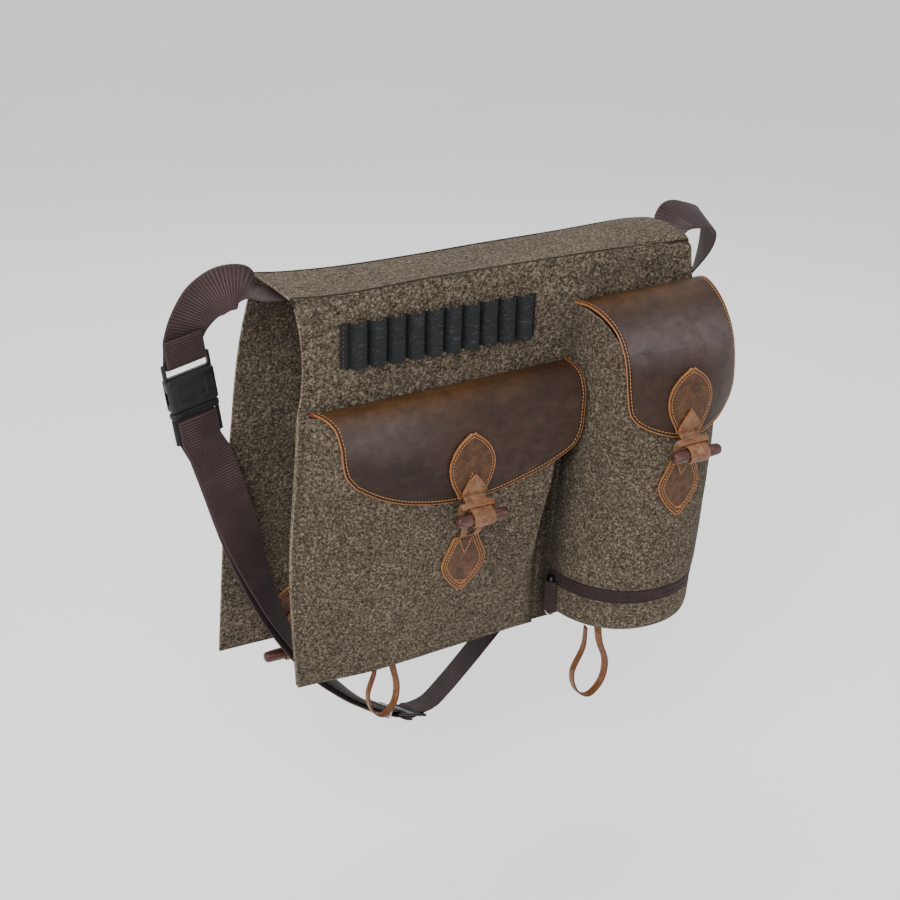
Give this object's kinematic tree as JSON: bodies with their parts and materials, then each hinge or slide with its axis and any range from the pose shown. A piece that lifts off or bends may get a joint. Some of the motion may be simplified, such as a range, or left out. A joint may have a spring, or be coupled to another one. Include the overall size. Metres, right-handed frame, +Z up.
{
  "type": "felt and leather hunting bag with shoulder strap",
  "caption": "Saddle-shaped felt hunting bag with leather flaps over a flat and a round pocket, an elastic cartridge strip, toggle closures and a webbing shoulder strap",
  "frame": {"origin": "the middle of the saddle's underside, where a rail or shoulder holds the bag up", "axes": "+Z up, the front with both flaps faces -Y, +X along the saddle to the front's right as seen from the front"},
  "size_m": [0.5663, 0.2222, 0.4824],
  "materials": {
    "felt": "thick brown-grey heather wool felt, matt",
    "leather": "dark brown waxed pull-up leather with orange stitching",
    "tan_leather": "mid brown leather tabs with raw tan edges",
    "toggle": "dark red-brown stained toggle, satin",
    "elastic": "black twill elastic",
    "webbing": "dark purple-brown ribbed polyester webbing",
    "zip": "dark purple-brown zip tape with its coil",
    "metal": "grey metal",
    "plastic": "black moulded plastic"
  },
  "bodies": {
    "root": {"saddle_top": "felt", "front_panel": "felt", "back_panel": "felt", "flat_pocket": "felt", "round_pocket": "felt", "round_base": "felt", "flat_flap": "leather", "round_flap": "leather", "flat_leaf": "tan_leather", "flat_wrap": "tan_leather", "flat_catch_leaf": "tan_leather", "flat_catch_loop": "tan_leather", "round_leaf": "tan_leather", "round_wrap": "tan_leather", "round_catch_leaf": "tan_leather", "round_catch_loop": "tan_leather", "back_leaf_left": "tan_leather", "back_leaf_right": "tan_leather", "back_wrap_left": "tan_leather", "back_wrap_right": "tan_leather", "hanging_loop_left": "tan_leather", "hanging_loop_right": "tan_leather", "flat_toggle": "toggle", "round_toggle": "toggle", "back_toggle_left": "toggle", "back_toggle_right": "toggle", "cartridge_elastic": "elastic", "strap_left": "webbing", "strap_long": "webbing", "zip_tape": "zip", "zip_puller": "metal", "strap_slide_ring": "metal", "buckle_socket": "plastic", "buckle_tongue": "plastic", "strap_adjuster": "plastic"}
  },
  "joints": []
}
